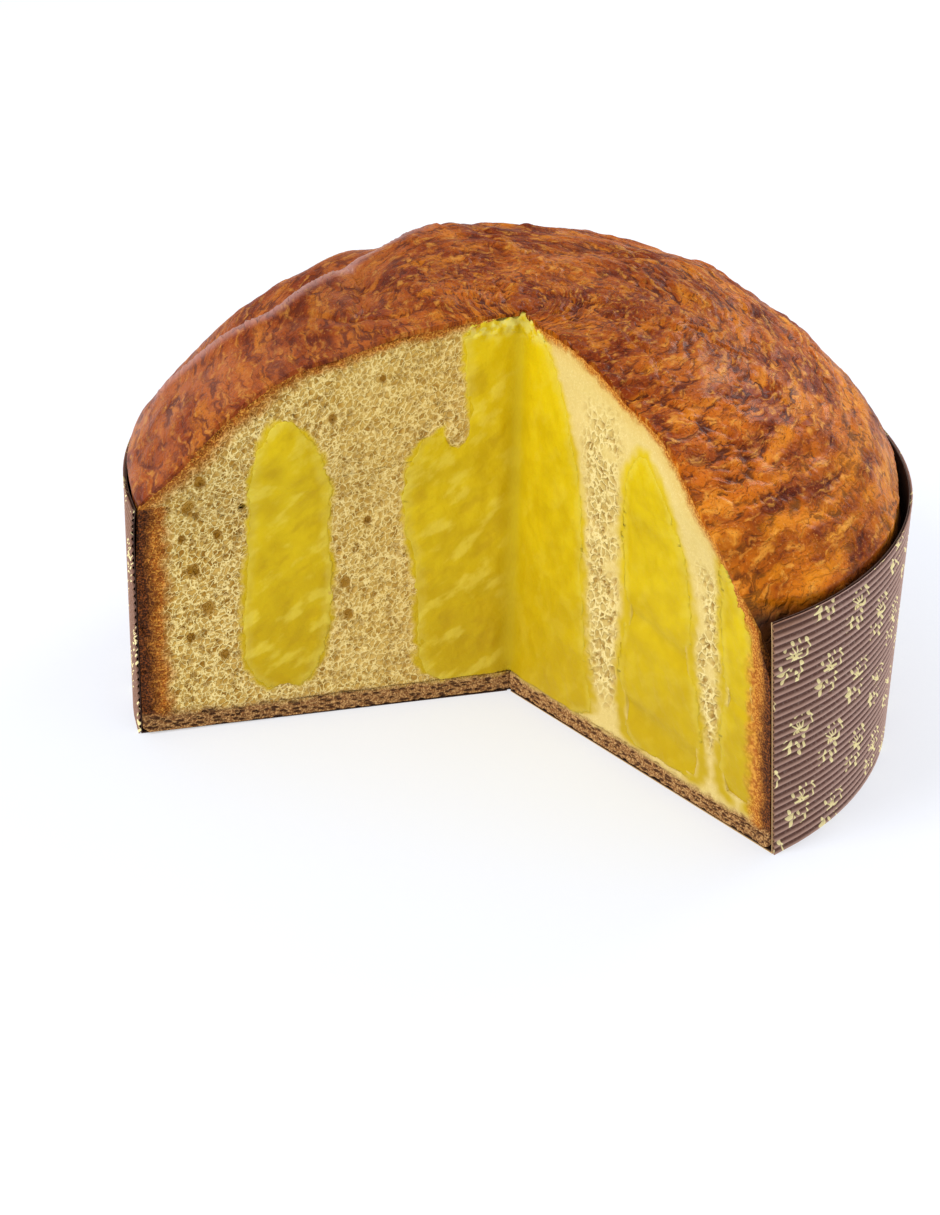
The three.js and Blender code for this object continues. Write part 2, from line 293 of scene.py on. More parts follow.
def case_angle(across, height):
    """The angle of a point of the paper, from the right cut round the back to the left cut. The first and
    the last column stand close to the ends, so that a cut end can have a colour of its own."""
    column = 1 / CASE_COLUMNS
    across = np.where(np.abs(across - column) < column / 4, CASE_END, across)
    across = np.where(np.abs(1 - across - column) < column / 4, 1 - CASE_END, across)
    return lerp(cut_angle(RIGHT_CUT, height), cut_angle(LEFT_CUT, height) - CASE_LEFT_TRIM, across)


def past_cut(cut, points):
    """The angle from a cut to each point, round the apex."""
    return np.arctan2(points[:, 1] - APEX_Y, points[:, 0]) - cut_angle(cut, points[:, 2])


def at_cut_end(points):
    """1 on the paper's end along the right cut."""
    return 1 - smooth(np.abs(past_cut(RIGHT_CUT, points)) * CASE_RADIUS, *END_DEPTH)


def liner_form(across, along, layer):
    """The floor from the apex to the wall, and then the wall."""
    inside = np.abs(layer) * LINER
    up = np.clip((along - FLOOR_SHARE) / (1 - FLOOR_SHARE), 0, 1)
    height = np.where(along < FLOOR_SHARE, inside, up * CASE_HEIGHT)
    height = np.maximum(height, inside)
    angle = case_angle(across, height)
    out = reach(angle, LINER_OUTSIDE - inside)
    on_floor = along < FLOOR_SHARE
    return from_apex(angle, np.where(on_floor, lerp(FLOOR_HOLE, out, along / FLOOR_SHARE), out), height)


liner_paper, shade = material_of("brown liner paper", {"Specular IOR Level": 0.25})
fibres = shade.grain(1.2, 4.0)
blotches = shade.grain(14.0, 2.0)
tint = blotches.pick(colour(52, 34, 27), colour(70, 48, 39))
tint = fibres.between(0.3, 0.75).pick(tint, colour(88, 62, 50))
join(liner_paper, {
    "Base Color": shade.marked("end").pick(tint, colour(206, 170, 118)),
    "Roughness": 0.62 + 0.2 * fibres,
    "Normal": shade.bump(fibres, 0.08),
})
liner = wrap("case_liner", closed_net(CASE_COLUMNS, LINER_ROWS), liner_form)
mark(liner, "end", at_cut_end(points_of(liner)))
finished("case_liner", liner, liner_paper, "case_paper", "paper_case")

# The waved outer sheet of the case
# Thin brown paper pressed into fine level ribs and glued on the liner, so its flutes show as a row of
# small holes where it is cut. Pale gold sprigs are printed on it in slanting rows.
RIBS = 33
RIB = CASE_HEIGHT / RIBS
RIB_RISE = 0.34
WAVE_MIDDLE = CASE_RADIUS - 0.42
WAVE_PAPER = 0.13
STEPS_TO_A_RIB = 10
RIM_STAIN = 9.0
STAIN_REACH = 30.0
STAIN_BELOW_RIM = 0.45
LEFT_STAIN = (6, 26)


def wave_form(across, along, layer):
    """A wall that swings in and out over its height, with the paper's thickness square to the wave."""
    turn = 2 * np.pi * along * RIBS
    slope = -2 * np.pi * RIB_RISE / RIB * np.sin(turn)
    facing = 1 / np.sqrt(1 + slope**2)
    inside = np.abs(layer) * WAVE_PAPER
    height = along * CASE_HEIGHT + inside * facing * slope
    angle = case_angle(across, height)
    radius = WAVE_MIDDLE + RIB_RISE * np.cos(turn) - inside * facing
    return from_apex(angle, reach(angle, radius), height)


wave = wrap("case_wave", closed_net(CASE_COLUMNS, RIBS * STEPS_TO_A_RIB), wave_form)
at = points_of(wave)
near_cut = 1 - smooth(np.abs(past_cut(RIGHT_CUT, at)) * CASE_RADIUS, 0, STAIN_REACH)
rim_stain = smooth(at[:, 2], CASE_HEIGHT - RIM_STAIN, CASE_HEIGHT - 1)
near_left = 1 - smooth(-past_cut(LEFT_CUT, at) % (2 * np.pi) * CASE_RADIUS, *LEFT_STAIN)
mark(wave, "stain", np.maximum(np.maximum(rim_stain, STAIN_BELOW_RIM) * near_cut, near_left))
# 1 on each rib's top and 0 in its valleys, used for painted light on the rib tops and painted shade in the
# valleys.
mark(wave, "crest_light", 0.5 + 0.5 * np.cos(2 * np.pi * at[:, 2] / RIB))
mark(wave, "end", at_cut_end(at))

# The sprigs stand in columns that lean and step down. Each has a fan of strokes with a curl beside it,
# over a few leaves and drops. A leaf is its middle, its half length and half width, and its turn in radians.
# A drop is its middle and its radius.
SPRIG_ACROSS = 13.1
SPRIG_UP = 22.5
SPRIG_DROP = 8.8
SPRIG_LEAN = 0.182
SPRIG_FIRST = (2.9, 9.4)
FAN = {"middle": (-0.2, 1.5), "spokes": 10, "from": 0.2, "to": 2.8, "width": 0.2, "lowest": -1.1}
TIPS = {"radius": 4.2, "size": 0.56, "lowest": 1.2, "rightmost": 1.4}
CURL = {"middle": (2.5, 2.7), "radius": 2.3, "width": 0.27, "end": (3.3, 5.1), "end_size": 0.7, "slant": 1.5}
LEAVES = [
    ((-3.7, -2.4), (2.0, 0.6), 0.3),
    ((-3.0, -4.2), (1.7, 0.52), 0.9),
    ((2.5, -3.9), (1.6, 0.45), 1.3),
]
LEAF_BEND = 0.16
LEAF_EDGE = 0.25
DROPS = [
    ((-4.7, -0.6), 0.6), ((-0.8, -2.3), 0.55), ((0.6, -3.5), 0.6), ((2.3, -1.2), 0.7), ((1.1, -5.7), 0.65),
]
INK_EDGE = 0.12


def sprig_print(shade):
    """1 where the sprigs are printed, worked out along the wall and up it."""
    x, y, z = shade.parts()
    around = shade.maths("ARCTAN2", x * -1.0, y - AXIS_Y) * CASE_RADIUS
    leaning = around + z * SPRIG_LEAN + SPRIG_FIRST[0]
    column = shade.node("Math", {"operation": "FLOOR"}, {0: leaning / SPRIG_ACROSS})
    risen = z + column * SPRIG_DROP + SPRIG_FIRST[1]
    row = shade.node("Math", {"operation": "FLOOR"}, {0: risen / SPRIG_UP})
    up = risen - (row + 0.5) * SPRIG_UP
    across = leaning - (column + 0.5) * SPRIG_ACROSS - up * SPRIG_LEAN

    def length(aside, over):
        return (aside * aside + over * over) ** 0.5

    def ink(past_edge, edge=INK_EDGE):
        """1 inside an edge and 0 past it."""
        return past_edge.between(edge, -edge)

    def dot(middle, size):
        return ink(length(across - middle[0], up - middle[1]) - size)

    aside, over = across - FAN["middle"][0], up - FAN["middle"][1]
    out = length(aside, over)
    turn = shade.maths("ARCTAN2", over, aside) * (FAN["spokes"] / 2)
    spoke = shade.maths("SINE", turn, 0.0).size()
    from_spoke = spoke * (2 / FAN["spokes"])
    fan = ink(from_spoke * out - FAN["width"]) * ink(out - FAN["to"]) * ink(FAN["from"] - out)
    tip = ink(length(out - TIPS["radius"], from_spoke * TIPS["radius"]) - TIPS["size"])
    tip = tip * ink(TIPS["lowest"] - over) * ink(aside - TIPS["rightmost"])
    total = fan * ink(FAN["lowest"] - over) + tip
    aside, over = across - CURL["middle"][0], up - CURL["middle"][1]
    ring = (length(aside, over) - CURL["radius"]).size()
    total = total + ink(ring - CURL["width"]) * ink(over - aside * CURL["slant"])
    total = total + dot(CURL["end"], CURL["end_size"])
    for middle, size, turn in LEAVES:
        aside, over = across - middle[0], up - middle[1]
        leaf_along = aside * math.cos(turn) + over * math.sin(turn)
        leaf_aside = over * math.cos(turn) - aside * math.sin(turn) - leaf_along * leaf_along * LEAF_BEND
        total = total + ink(length(leaf_along / size[0], leaf_aside / size[1]) - 1.0, LEAF_EDGE)
    for middle, size in DROPS:
        total = total + dot(middle, size)
    return total.between(0.3, 0.8)


wave_paper, shade = material_of("ribbed case paper", {"Specular IOR Level": 0.3})
crest_light = shade.marked("crest_light")
fibres = shade.grain(0.7, 4.0)
blotches = shade.grain(18.0, 2.0)
# The ribs' valleys are painted darker and their tops lighter: painted shade and painted light along the
# ribs. The stained paper gets the same, and the print fades into the painted shade of the valleys.
valley_shade = blotches.pick(colour(86, 50, 40), colour(108, 68, 56))
paper = crest_light.between(0.2, 1.0).pick(valley_shade, colour(190, 154, 140))
paper = (fibres.between(0.45, 0.8) * 0.3).pick(paper, colour(206, 184, 170))
stained = crest_light.pick(colour(74, 42, 28), colour(146, 100, 70))
paper = (shade.marked("stain") * (0.3 + fibres)).pick(paper, stained)
printed = sprig_print(shade) * (0.7 + 0.3 * crest_light.between(0.0, 0.5)) * (0.75 + 0.5 * fibres)
paper = printed.pick(paper, colour(255, 240, 176))
join(wave_paper, {
    "Base Color": shade.marked("end").pick(paper, colour(150, 108, 76)),
    "Roughness": 0.5 + 0.25 * fibres,
    "Normal": shade.bump(fibres, 0.05),
})
finished("case_wave", wave, wave_paper, "case_paper", "paper_case")

# The crust
# The loaf's dome as it baked and browned: a thin shiny skin with folds, cracks and fine wrinkles that
# run round the loaf. It reaches down inside the case, where it shrank back from the paper in places.
LOAF_RADIUS = CASE_RADIUS - 1.6
DOME_RISE = 44.6
DOME_LEAN_X = -0.02
DOME_LEAN_Y = 0.204
DOME_FULLNESS = 3.46
DOME_FADE = 12.0
RIM_CROWDING = 1.25
SHOULDER_TUCK = 0.7
SHOULDER_DROP = 7.0
# Where the crust stands back from the paper, or swells over it where the depth is negative: angles and
# their widths in degrees, depths and heights in millimetres.
SHRINKS = [
    {"angle": -57, "width": 8, "depth": 9.5, "height": 72, "reach": 9},
    {"angle": 201, "width": 9, "depth": -0.4, "height": 73, "reach": 9},
    {"angle": -5, "width": 14, "depth": 1.8, "height": 71, "reach": 9},
    {"angle": 172, "width": 30, "depth": -1.9, "height": 76, "reach": 6},
]
SHRINK_FROM = 60.0
SHRINK_FULL = 95.0
# Each fold: its rise, its half width and the way that it runs over the dome, seen from above.
FOLDS = [
    (2.4, 6, [(-101, 9), (-80, 6), (-63, 7), (-56, 15), (-47, 26), (-36, 34), (-20, 45)]),
    (-2.2, 5, [(-99, 20), (-80, 18), (-66, 19), (-56, 29), (-45, 38)]),
    (1.8, 6, [(-92, 32), (-76, 32), (-62, 38), (-48, 50), (-30, 58)]),
    (-1.3, 4, [(-47, 24), (-42, 12), (-41, 3), (-45, -5)]),
    (1.6, 7, [(-58, 6), (-54, -6), (-47, -12)]),
    (1.2, 5, [(-18, 33), (-6, 36), (3, 28)]),
    (1.5, 5, [(25, -12), (29, -21), (32, -34)]),
    (1.3, 6, [(41, 2), (49, -6), (58, -15)]),
    (-1.1, 5, [(40, 12), (52, 6), (62, -4)]),
    (1.3, 6, [(51, -37), (62, -33), (76, -29), (88, -30)]),
    (-1.2, 6, [(60, 20), (74, 12), (86, -2)]),
    (1.7, 8, [(-52, 66), (-30, 76), (-6, 80), (18, 76)]),
    (-1.5, 7, [(-40, 56), (-18, 64), (6, 66), (30, 58)]),
    (1.4, 7, [(36, 34), (48, 44), (54, 60), (50, 76)]),
]
FOLD_STEPS = 36
CRACK_STEPS = 72
# Each swell: its waves round the dome and outwards, its turn and its rise.
SWELLS = [(2, 1.2, 0.4, 0.9), (3, 2.1, 1.9, 0.7), (5, 2.6, 3.1, 0.5), (7, 4.2, 5.0, 0.35)]
# Cracks are narrow folds that go down.
CRACKS = [
    (-1.1, 0.8, [(-46, 25), (-43, 17), (-44, 10), (-41, 3), (-43, -2)]),
    (-0.8, 0.8, [(-76, 18), (-70, 15), (-64, 16), (-60, 12)]),
    (-0.7, 0.9, [(24, -10), (28, -18), (33, -24), (34, -33)]),
    (-0.7, 1.0, [(43, -6), (50, -11), (58, -12)]),
    (-0.6, 0.9, [(-60, 2), (-50, -4), (-40, -6), (-30, -5)]),
    (-0.6, 0.9, [(12, 18), (20, 12), (30, 12), (36, 6)]),
]
# A ridge of the same kind, whose top has a pale shine: a painted highlight in its colour, and a little more
# coat gloss.
SHINY_RIDGE = (
    0.8, 1.1, [(-96, 7), (-79, 5), (-63, 7), (-57, 14), (-47, 26), (-41, 33), (-31, 40), (-24, 44)],
)
SHINE_WIDTH = 1.7
PITS = [(-73, 18), (-69, 15), (-62, 14), (31, -31), (47, -8), (-28, 20), (14, 40), (62, 22)]
PIT_SIZE = 1.7
PIT_DEPTH = 0.9
SKIN = 1.2
DEEPEST_WRINKLE = 0.8
SKIN_FOOT = 60.0
FOOT_BEHIND = 0.8
APEX_HOLE = 1.0
CRUST_COLUMNS = 330
CRUST_INNER_COLUMNS = 24
CRUST_ROWS = 226
SHOULDER_AT = 0.92
RING_STRETCH = 19.0
DOWN_STRETCH = 92.0
TURN_START = -1.3
COARSE = {"even": 5.6, "ringed": 5.2, "rise": 1.25}
FINE = {"even": 2.4, "ringed": 2.1, "down": 2.3, "rise": 0.8}
MIDDLING = 0.2


def curve(path, steps):
    """Points of a smooth curve through a path."""
    path = np.array(path, float)
    ends = np.vstack((2 * path[0] - path[1], path, 2 * path[-1] - path[-2]))
    share = np.linspace(0, len(path) - 1, steps)
    index = np.minimum(share.astype(int), len(path) - 2)
    share = (share - index)[:, None]
    before, start, end, after = (ends[index + step] for step in range(4))
    bend = (2 * before - 5 * start + 4 * end - after) * share**2
    twist = (3 * start - before - 3 * end + after) * share**3
    return 0.5 * (2 * start + (end - before) * share + bend + twist)


def gap_to(x, y, line):
    """The distance from each point to the nearest point of a line."""
    return np.min(np.hypot(x[:, None] - line[:, 0], y[:, None] - line[:, 1]), axis=1)


def ripples(points, size, shift=0.0):
    """Noise from about -1 to 1 with bumps of this size in millimetres."""
    return np.array([noise.noise(point) for point in (points / size + shift).tolist()])


def wander(points, size, shifts):
    """A vector of noise for each point, with bumps of this size."""
    return np.column_stack([ripples(points, size, shift) for shift in shifts])


def bubbles(points, size, shift=0.0):
    """For each point the distance to the nearest bubble's middle, and the way to the wall between two."""
    near = [noise.voronoi(point)[0] for point in (points / size + shift).tolist()]
    near = np.array(near)
    return near[:, 0], near[:, 1] - near[:, 0]


def bell(gap, width):
    """1 without a gap, and falling to nothing over about twice the width."""
    return np.exp(-((gap / width) ** 2))


def ridges_at(x, y, ridges, steps):
    """How far folds, ridges and cracks raise the dome."""
    total = np.zeros_like(x)
    for rise, width, path in ridges:
        total += rise * bell(gap_to(x, y, curve(path, steps)), width)
    return total


def folds_at(x, y):
    """How far the folds and swells raise the dome."""
    total = ridges_at(x, y, FOLDS, FOLD_STEPS)
    angle = np.arctan2(y, x)
    out = np.hypot(x, y) / CASE_RADIUS
    for around, outward, turn, height in SWELLS:
        wave_height = np.sin(around * angle + turn + 2 * np.pi * outward * out)
        total += height * wave_height * np.minimum(1, 3 * out)
    return total


def dome_height(x, y):
    """The height of the plain dome, which leans back and a little to the left."""
    out = np.minimum(np.hypot(x, y) / CASE_RADIUS, 1)
    lean = 1 + DOME_LEAN_X * x / CASE_RADIUS + DOME_LEAN_Y * y / CASE_RADIUS
    return CASE_HEIGHT + DOME_RISE * lean * (1 - out**DOME_FULLNESS)


def shrink(x, y, height):
    """How far the crust stands back from the paper."""
    angle = np.degrees(np.arctan2(y, x))
    total = SHOULDER_TUCK * smooth(height, CASE_HEIGHT - SHOULDER_DROP, CASE_HEIGHT)
    for place in SHRINKS:
        turn = (angle - place["angle"] + 180) % 360 - 180
        up = height - place["height"]
        total = total + place["depth"] * bell(turn, place["width"]) * bell(up, place["reach"])
    return total


def crust_point(angle, along, inside):
    """A point of the crust's smooth form, at an angle round the apex, along its slope from the top to the
    foot (0 to 1), and this far below the surface."""
    on_dome = np.clip(along / SHOULDER_AT, 0, 1)
    down = np.clip((along - SHOULDER_AT) / (1 - SHOULDER_AT), 0, 1)
    flat = 1 - (1 - on_dome) ** RIM_CROWDING
    wall = reach(angle, LOAF_RADIUS)
    out = lerp(APEX_HOLE, wall, flat)
    x, y, _ = from_apex(angle, out, 0).T
    fade = smooth(CASE_RADIUS - np.hypot(x, y), 0, DOME_FADE)
    height = dome_height(x, y) + fade * folds_at(x, y)
    slope_x = (dome_height(x + 1, y) - dome_height(x - 1, y)) / 2
    slope_y = (dome_height(x, y + 1) - dome_height(x, y - 1)) / 2
    facing = 1 / np.sqrt(1 + slope_x**2 + slope_y**2)
    level = np.hypot(x, y)
    side = smooth(down, 0, 0.3)
    inward_x = lerp(slope_x * facing, -x / level, side)
    inward_y = lerp(slope_y * facing, -y / level, side)
    inward_z = lerp(-facing, 0, side)
    height = lerp(height, SKIN_FOOT, down)
    back = shrink(x, y, height) * smooth(level, SHRINK_FROM, SHRINK_FULL)
    x = x * (level - back) / level + inward_x * inside
    y = y * (level - back) / level + inward_y * inside
    return np.column_stack((x, y, height + inward_z * inside))


def apex_to(points):
    """The level distance from the apex to each point."""
    return np.hypot(points[:, 0], points[:, 1] - APEX_Y)


def onto_cut(cut, points):
    """Turns points round the apex until they lie on a cut, or a little behind it at the crust's foot."""
    out = apex_to(points)
    behind = FOOT_BEHIND * smooth(points[:, 2], CASE_HEIGHT + 4, CASE_HEIGHT - 3) / out
    return from_apex(cut_angle(cut, points[:, 2]) + behind * cut["inward"], out, points[:, 2])


def wrinkles_at(base):
    """The wrinkles over points of the crust's smooth form: their height, and how high each point lies
    among its neighbours, from 0 to 1."""
    x, y, height = base.T
    level = np.hypot(x, y)
    angle = np.arctan2(y - APEX_Y, x)
    angle = np.where(angle < TURN_START, angle + 2 * np.pi, angle)
    bend = 2.6 * wander(base, 8.0, (3.1, 17.7, 40.2))
    even = base + bend
    round_it = np.column_stack((level, angle * RING_STRETCH, height * 0.3)) + bend
    down_it = np.column_stack((level * 0.4, angle * DOWN_STRETCH, height * 0.4)) + bend
    around_share = smooth(level, 12, 40)
    down_share = smooth(level, 74, 94) * smooth(x, 10, 50)
    coarse = np.abs(ripples(even, COARSE["even"]))
    coarse = lerp(coarse, np.abs(ripples(round_it, COARSE["ringed"], 7.0)), around_share) - MIDDLING
    fine = np.abs(ripples(even, FINE["even"], 5.0))
    fine = lerp(fine, np.abs(ripples(round_it, FINE["ringed"], 11.0)), around_share)
    fine = lerp(fine, np.abs(ripples(down_it, FINE["down"], 15.0)), down_share) - MIDDLING
    patchy = smooth(ripples(base, 15.0, 81.0), -0.4, 0.4)
    rough = lerp(0.5, 1.15, smooth(x, -50, 5)) * lerp(0.6, 1.3, patchy)
    rough = rough * lerp(1, 0.5, smooth(level, 72, 94)) * lerp(1, 0.7, smooth(y, 30, 70))
    total = (COARSE["rise"] * coarse + FINE["rise"] * fine) * rough + 0.25 * ripples(base, 13.0, 21.0)
    total += ridges_at(x, y, CRACKS + [SHINY_RIDGE], CRACK_STEPS)
    for pit_x, pit_y in PITS:
        total -= PIT_DEPTH * bell(np.hypot(x - pit_x, y - pit_y), PIT_SIZE)
    total = np.maximum(total, -DEEPEST_WRINKLE) * smooth(height, CASE_HEIGHT - 7, CASE_HEIGHT)
    return total, np.clip(0.5 + (1.3 * coarse + 0.9 * fine) * lerp(0.6, 1.1, patchy), 0, 1)


def crust_base(share, along):
    """The smooth form without wrinkles, for a share of the way from the right cut to the left cut."""
    height = np.full_like(along, CASE_HEIGHT + DOME_RISE / 2)
    for _ in range(2):
        angle = lerp(cut_angle(RIGHT_CUT, height), cut_angle(LEFT_CUT, height), share)
        base = crust_point(angle, along, 0)
        height = base[:, 2]
    return angle, base


def crust_net():
    """The crust's pattern: a fine outside, a coarse inside, and the strips that close them at the cuts."""
    net = bmesh.new()
    for layer, columns in enumerate((CRUST_COLUMNS, CRUST_INNER_COLUMNS)):
        made = bmesh.ops.create_grid(net, x_segments=columns, y_segments=CRUST_ROWS, size=0.5)
        bmesh.ops.translate(net, vec=(0.5, 0.5, layer), verts=made["verts"])
    for end in (0, 1):
        edges = [e for e in net.edges if all(abs(v.co.x - end) < 1e-5 for v in e.verts)]
        bmesh.ops.bridge_loops(net, edges=edges)
    bmesh.ops.holes_fill(net, edges=[e for e in net.edges if e.is_boundary])
    return net


def crust_half(name, first, last):
    """One half of the crust, between two shares of the way round."""
    found = {}

    def form(across, along, layer):
        share = lerp(first, last, across)
        angle, base = crust_base(share, along)
        raised, rise = wrinkles_at(base)
        found.update(base=base, rise=rise)
        points = crust_point(angle, along, np.where(layer < 0.5, -raised, SKIN))
        for cut, end in ((RIGHT_CUT, 0), (LEFT_CUT, 1)):
            at_end = np.abs(share - end) < 1e-5
            points[at_end] = onto_cut(cut, points[at_end])
        return points

    mesh = wrap(name, crust_net(), form)
    base = found["base"]
    x, y, height = base.T
    shine = bell(gap_to(x, y, curve(SHINY_RIDGE[2], CRACK_STEPS)), SHINE_WIDTH)
    # How high each point lies among its neighbours. The material turns it into painted highlight on the
    # wrinkles' tops and painted shade in their hollows.
    mark(mesh, "rise", found["rise"])
    mark(mesh, "shine", shine * smooth(x, -20, -34))
    # Darker down by the rim and inside the case: partly the crust's real burn against the paper, partly
    # painted shade in the gap between crust and paper.
    ragged = height + 1.5 * ripples(base, 5.0, 9.0)
    mark(mesh, "burn_and_shade", 1 - smooth(ragged, CASE_HEIGHT - 4, CASE_HEIGHT + 3.5))
    mark(mesh, "calm", 1 - smooth(x, -60, -10))
    return mesh


crust_skin, shade = material_of("browned crust", {"Specular IOR Level": 0.05, "Coat Roughness": 0.22})
x, y, z = shade.parts()
y = y - AXIS_Y
level = (x * x + y * y) ** 0.5
around = shade.maths("ARCTAN2", x * -1.0, y) * level.between(2.0, 22.0) * RING_STRETCH
ringed = shade.add_vectors(shade.vector(level, around, z * 0.4), shade.clouds(6.0), 4.0)
rise = shade.marked("rise")
calm = shade.marked("calm")
creases = (shade.grain(2.6, 3.0, ringed) - 0.5).size().between(0.0, 0.1)
patches = shade.grain(15.0, 3.0)
drifts = shade.grain(4.2, 4.0, ringed)
flecks = shade.grain(1.7, 3.0, ringed)
specks = shade.grain(0.7, 3.0)
# How high the skin lies among its wrinkles, for the painted highlight and painted shade below.
raised = 0.55 * rise + 0.2 * creases + 0.25 * flecks
golden_side = z.between(104.0, 80.0) * x.between(0.0, 60.0) * drifts.between(0.3, 0.6)
brown = patches.between(0.36, 0.64).pick(colour(142, 54, 3), colour(204, 103, 8))
brown = (drifts.between(0.5, 0.66) * 0.8).pick(brown, colour(226, 132, 22))
brown = ((1 - drifts.between(0.3, 0.47)) * 0.75).pick(brown, colour(92, 26, 5))
# Golden flecks on the wrinkles' tops, partly painted highlight.
brown = (flecks.between(0.5, 0.74) * raised.between(0.3, 0.6) * 0.75).pick(brown, colour(246, 172, 70))
brown = (specks.between(0.6, 0.72) * 0.5).pick(brown, colour(240, 166, 80))
# The hollows between wrinkles are painted dark: painted shade.
brown = ((1 - raised.between(0.24, 0.5)) * 0.9).pick(brown, colour(70, 17, 3))
brown = ((1 - specks.between(0.3, 0.44)) * 0.65).pick(brown, colour(76, 24, 4))
brown = (calm * 0.35).pick(brown, colour(122, 52, 20))
brown = (z.between(98.0, 116.0) * 0.32).pick(brown, colour(88, 30, 2))
brown = (golden_side * 0.22).pick(brown, colour(246, 156, 16))
brown = (calm * patches.between(0.42, 0.62) * 0.25).pick(brown, colour(150, 84, 60))
# A pale painted highlight along the shiny ridge's top, on top of its extra coat gloss.
brown = (shade.marked("shine") * 0.65).pick(brown, colour(200, 154, 146))
# Near-black at the crust's foot: burnt crust and painted shade in the gap by the paper.
brown = (shade.marked("burn_and_shade") * 0.95).pick(brown, colour(34, 15, 9))
join(crust_skin, {
    "Base Color": brown,
    "Roughness": 0.36 + 0.3 * flecks,
    "Coat Weight": 0.3 * patches + 0.2 * shade.marked("shine"),
    "Normal": shade.bump(creases + 0.8 * flecks + 0.5 * specks, 0.4, 0.9),
})
for name, first, last in (("crust_right", 0.0, 0.5), ("crust_left", 0.5, 1.0)):
    finished(name, crust_half(name, first, last), crust_skin, "bread", "loaf")

# The crumb, in two halves
# The golden inside of the loaf: fine dough with bubbles of all sizes, open where the knife went
# through, browner towards the crust, with hollows for the cream. The halves meet at the back.
BASE = 0.7
BASE_ROUNDING = 2.0
CRUMB_COLUMNS = 250
CRUMB_ROWS = 315
CRUMB_SWEEPS = 12
CRUMB_SHOULDER = 64.0
CRUMB_UNDER_SKIN = 0.96
CRUMB_DEEPER_BEHIND = 2.0
# The core's edge: heights, each with its distance from the apex on the left cut and on the right cut.
CORE_EDGE = [
    (6.5, 20, 27), (9, 24, 33), (13, 25.5, 33), (27, 26.5, 29.8), (41, 26.6, 28.8), (54, 30, 27.6),
    (64, 30.7, 27.2), (74, 29.7, 26), (80.5, 27, 25.2), (84.5, 20.5, 24), (87.5, 14.2, 23),
    (94, 14.3, 20.8), (103, 15, 14.8), (109, 15.9, 10.4), (112, 14, 7.8), (113.6, 7.5, 6.2),
]
CORE_FOOT = 6.3
APEX_GAP = 0.3
NUB = {"out": 17.6, "height": 83.4, "from": 12.6, "half": 7.0, "rise": 0.9, "across": 3.6, "up": 5.6}
# A pocket's outline: heights, each with the distance from the apex to its near and its far side.
LEFT_POCKET = {"depth": 30, "outline": [
    (11, 60, 68), (14, 56, 72), (22, 53.2, 74), (32, 52, 74.2), (45, 51.3, 73.4), (54, 52.6, 72.7),
    (66, 52.1, 72.4), (76, 54.4, 72.6), (83, 56.6, 71.8), (88.5, 60.6, 69), (91, 63.4, 66.4),
]}
MIDDLE_POCKET = {"depth": 30, "outline": [
    (7.6, 52, 72), (9.5, 48, 75.4), (14, 46, 76.3), (22, 45, 75.6), (33, 45, 73.6), (47, 46.9, 71.5),
    (62, 45.8, 70.6), (75, 46.1, 68), (86, 47.8, 65.2), (91.6, 50.6, 60), (95, 53.4, 55.6),
]}
OUTER_POCKET = {"depth": 22, "outline": [
    (9, 86, 92.5), (11, 83.6, 94.8), (16, 82.6, 95.8), (27, 83.6, 96.4), (45, 84.3, 95.8),
    (61, 83.6, 93.2), (69, 84, 89.6), (75, 84.4, 87), (79.5, 85, 85.8),
]}
TUCKED_IN = 3.0
HOLLOW_MARGIN = 2.0
TABLE_STEPS = 240
# Each big hole in the left cut: its distance from the apex, its height and its radius.
BIG_HOLES = [
    (86.8, 77, 1.9), (89.4, 68.5, 2.2), (87.2, 65.6, 1.1), (87.9, 48.4, 2.0), (84, 36.5, 2.1),
    (81.3, 58.3, 1.3), (90.8, 57.9, 1.2), (74.8, 66.5, 1.2), (51.7, 90.6, 1.3), (47, 40, 1.7),
    (46, 30, 1.6), (80, 22, 1.6), (89, 28, 1.4), (41, 58, 1.2), (38, 100, 1.1),
]
HOLE_DEPTH = 1.7
PORE_SIZE = {"left": 2.1, "right": 1.9, "fine": 1.05, "sole": 1.15}
FINE_DEPTH = {"left": 0.2625, "right": 0.1575}
TOP_BAKE = 0.5
WALL_BAKE = 9.0
SOLE = 5.6
SMEAR = {"left": 2.4, "right": 4.2}
SMEARED_FLAT = 0.85
ON_FACE = 0.02
WALL_GAP = 0.1
LEFT_REACH = 0.5


def crumb_net():
    """A fine net for the cut face, with its border swept back in steps and closed at the last."""
    net = bmesh.new()
    made = bmesh.ops.create_grid(net, x_segments=CRUMB_COLUMNS, y_segments=CRUMB_ROWS, size=0.5)
    bmesh.ops.translate(net, vec=(0.5, 0.5, 0), verts=made["verts"])
    border = [e for e in net.edges if e.is_boundary]
    for _ in range(CRUMB_SWEEPS):
        swept = bmesh.ops.extrude_edge_only(net, edges=border)["geom"]
        border = [e for e in swept if isinstance(e, bmesh.types.BMEdge) and e.is_boundary]
        verts = {v for e in border for v in e.verts}
        bmesh.ops.translate(net, vec=(0, 0, 1), verts=list(verts))
    bmesh.ops.holes_fill(net, edges=border)
    return net


def core_edge(cut, height):
    """How far the core reaches from the apex on a cut."""
    rows = np.array(CORE_EDGE)
    return np.interp(height, rows[:, 0], rows[:, 1 if cut is LEFT_CUT else 2])


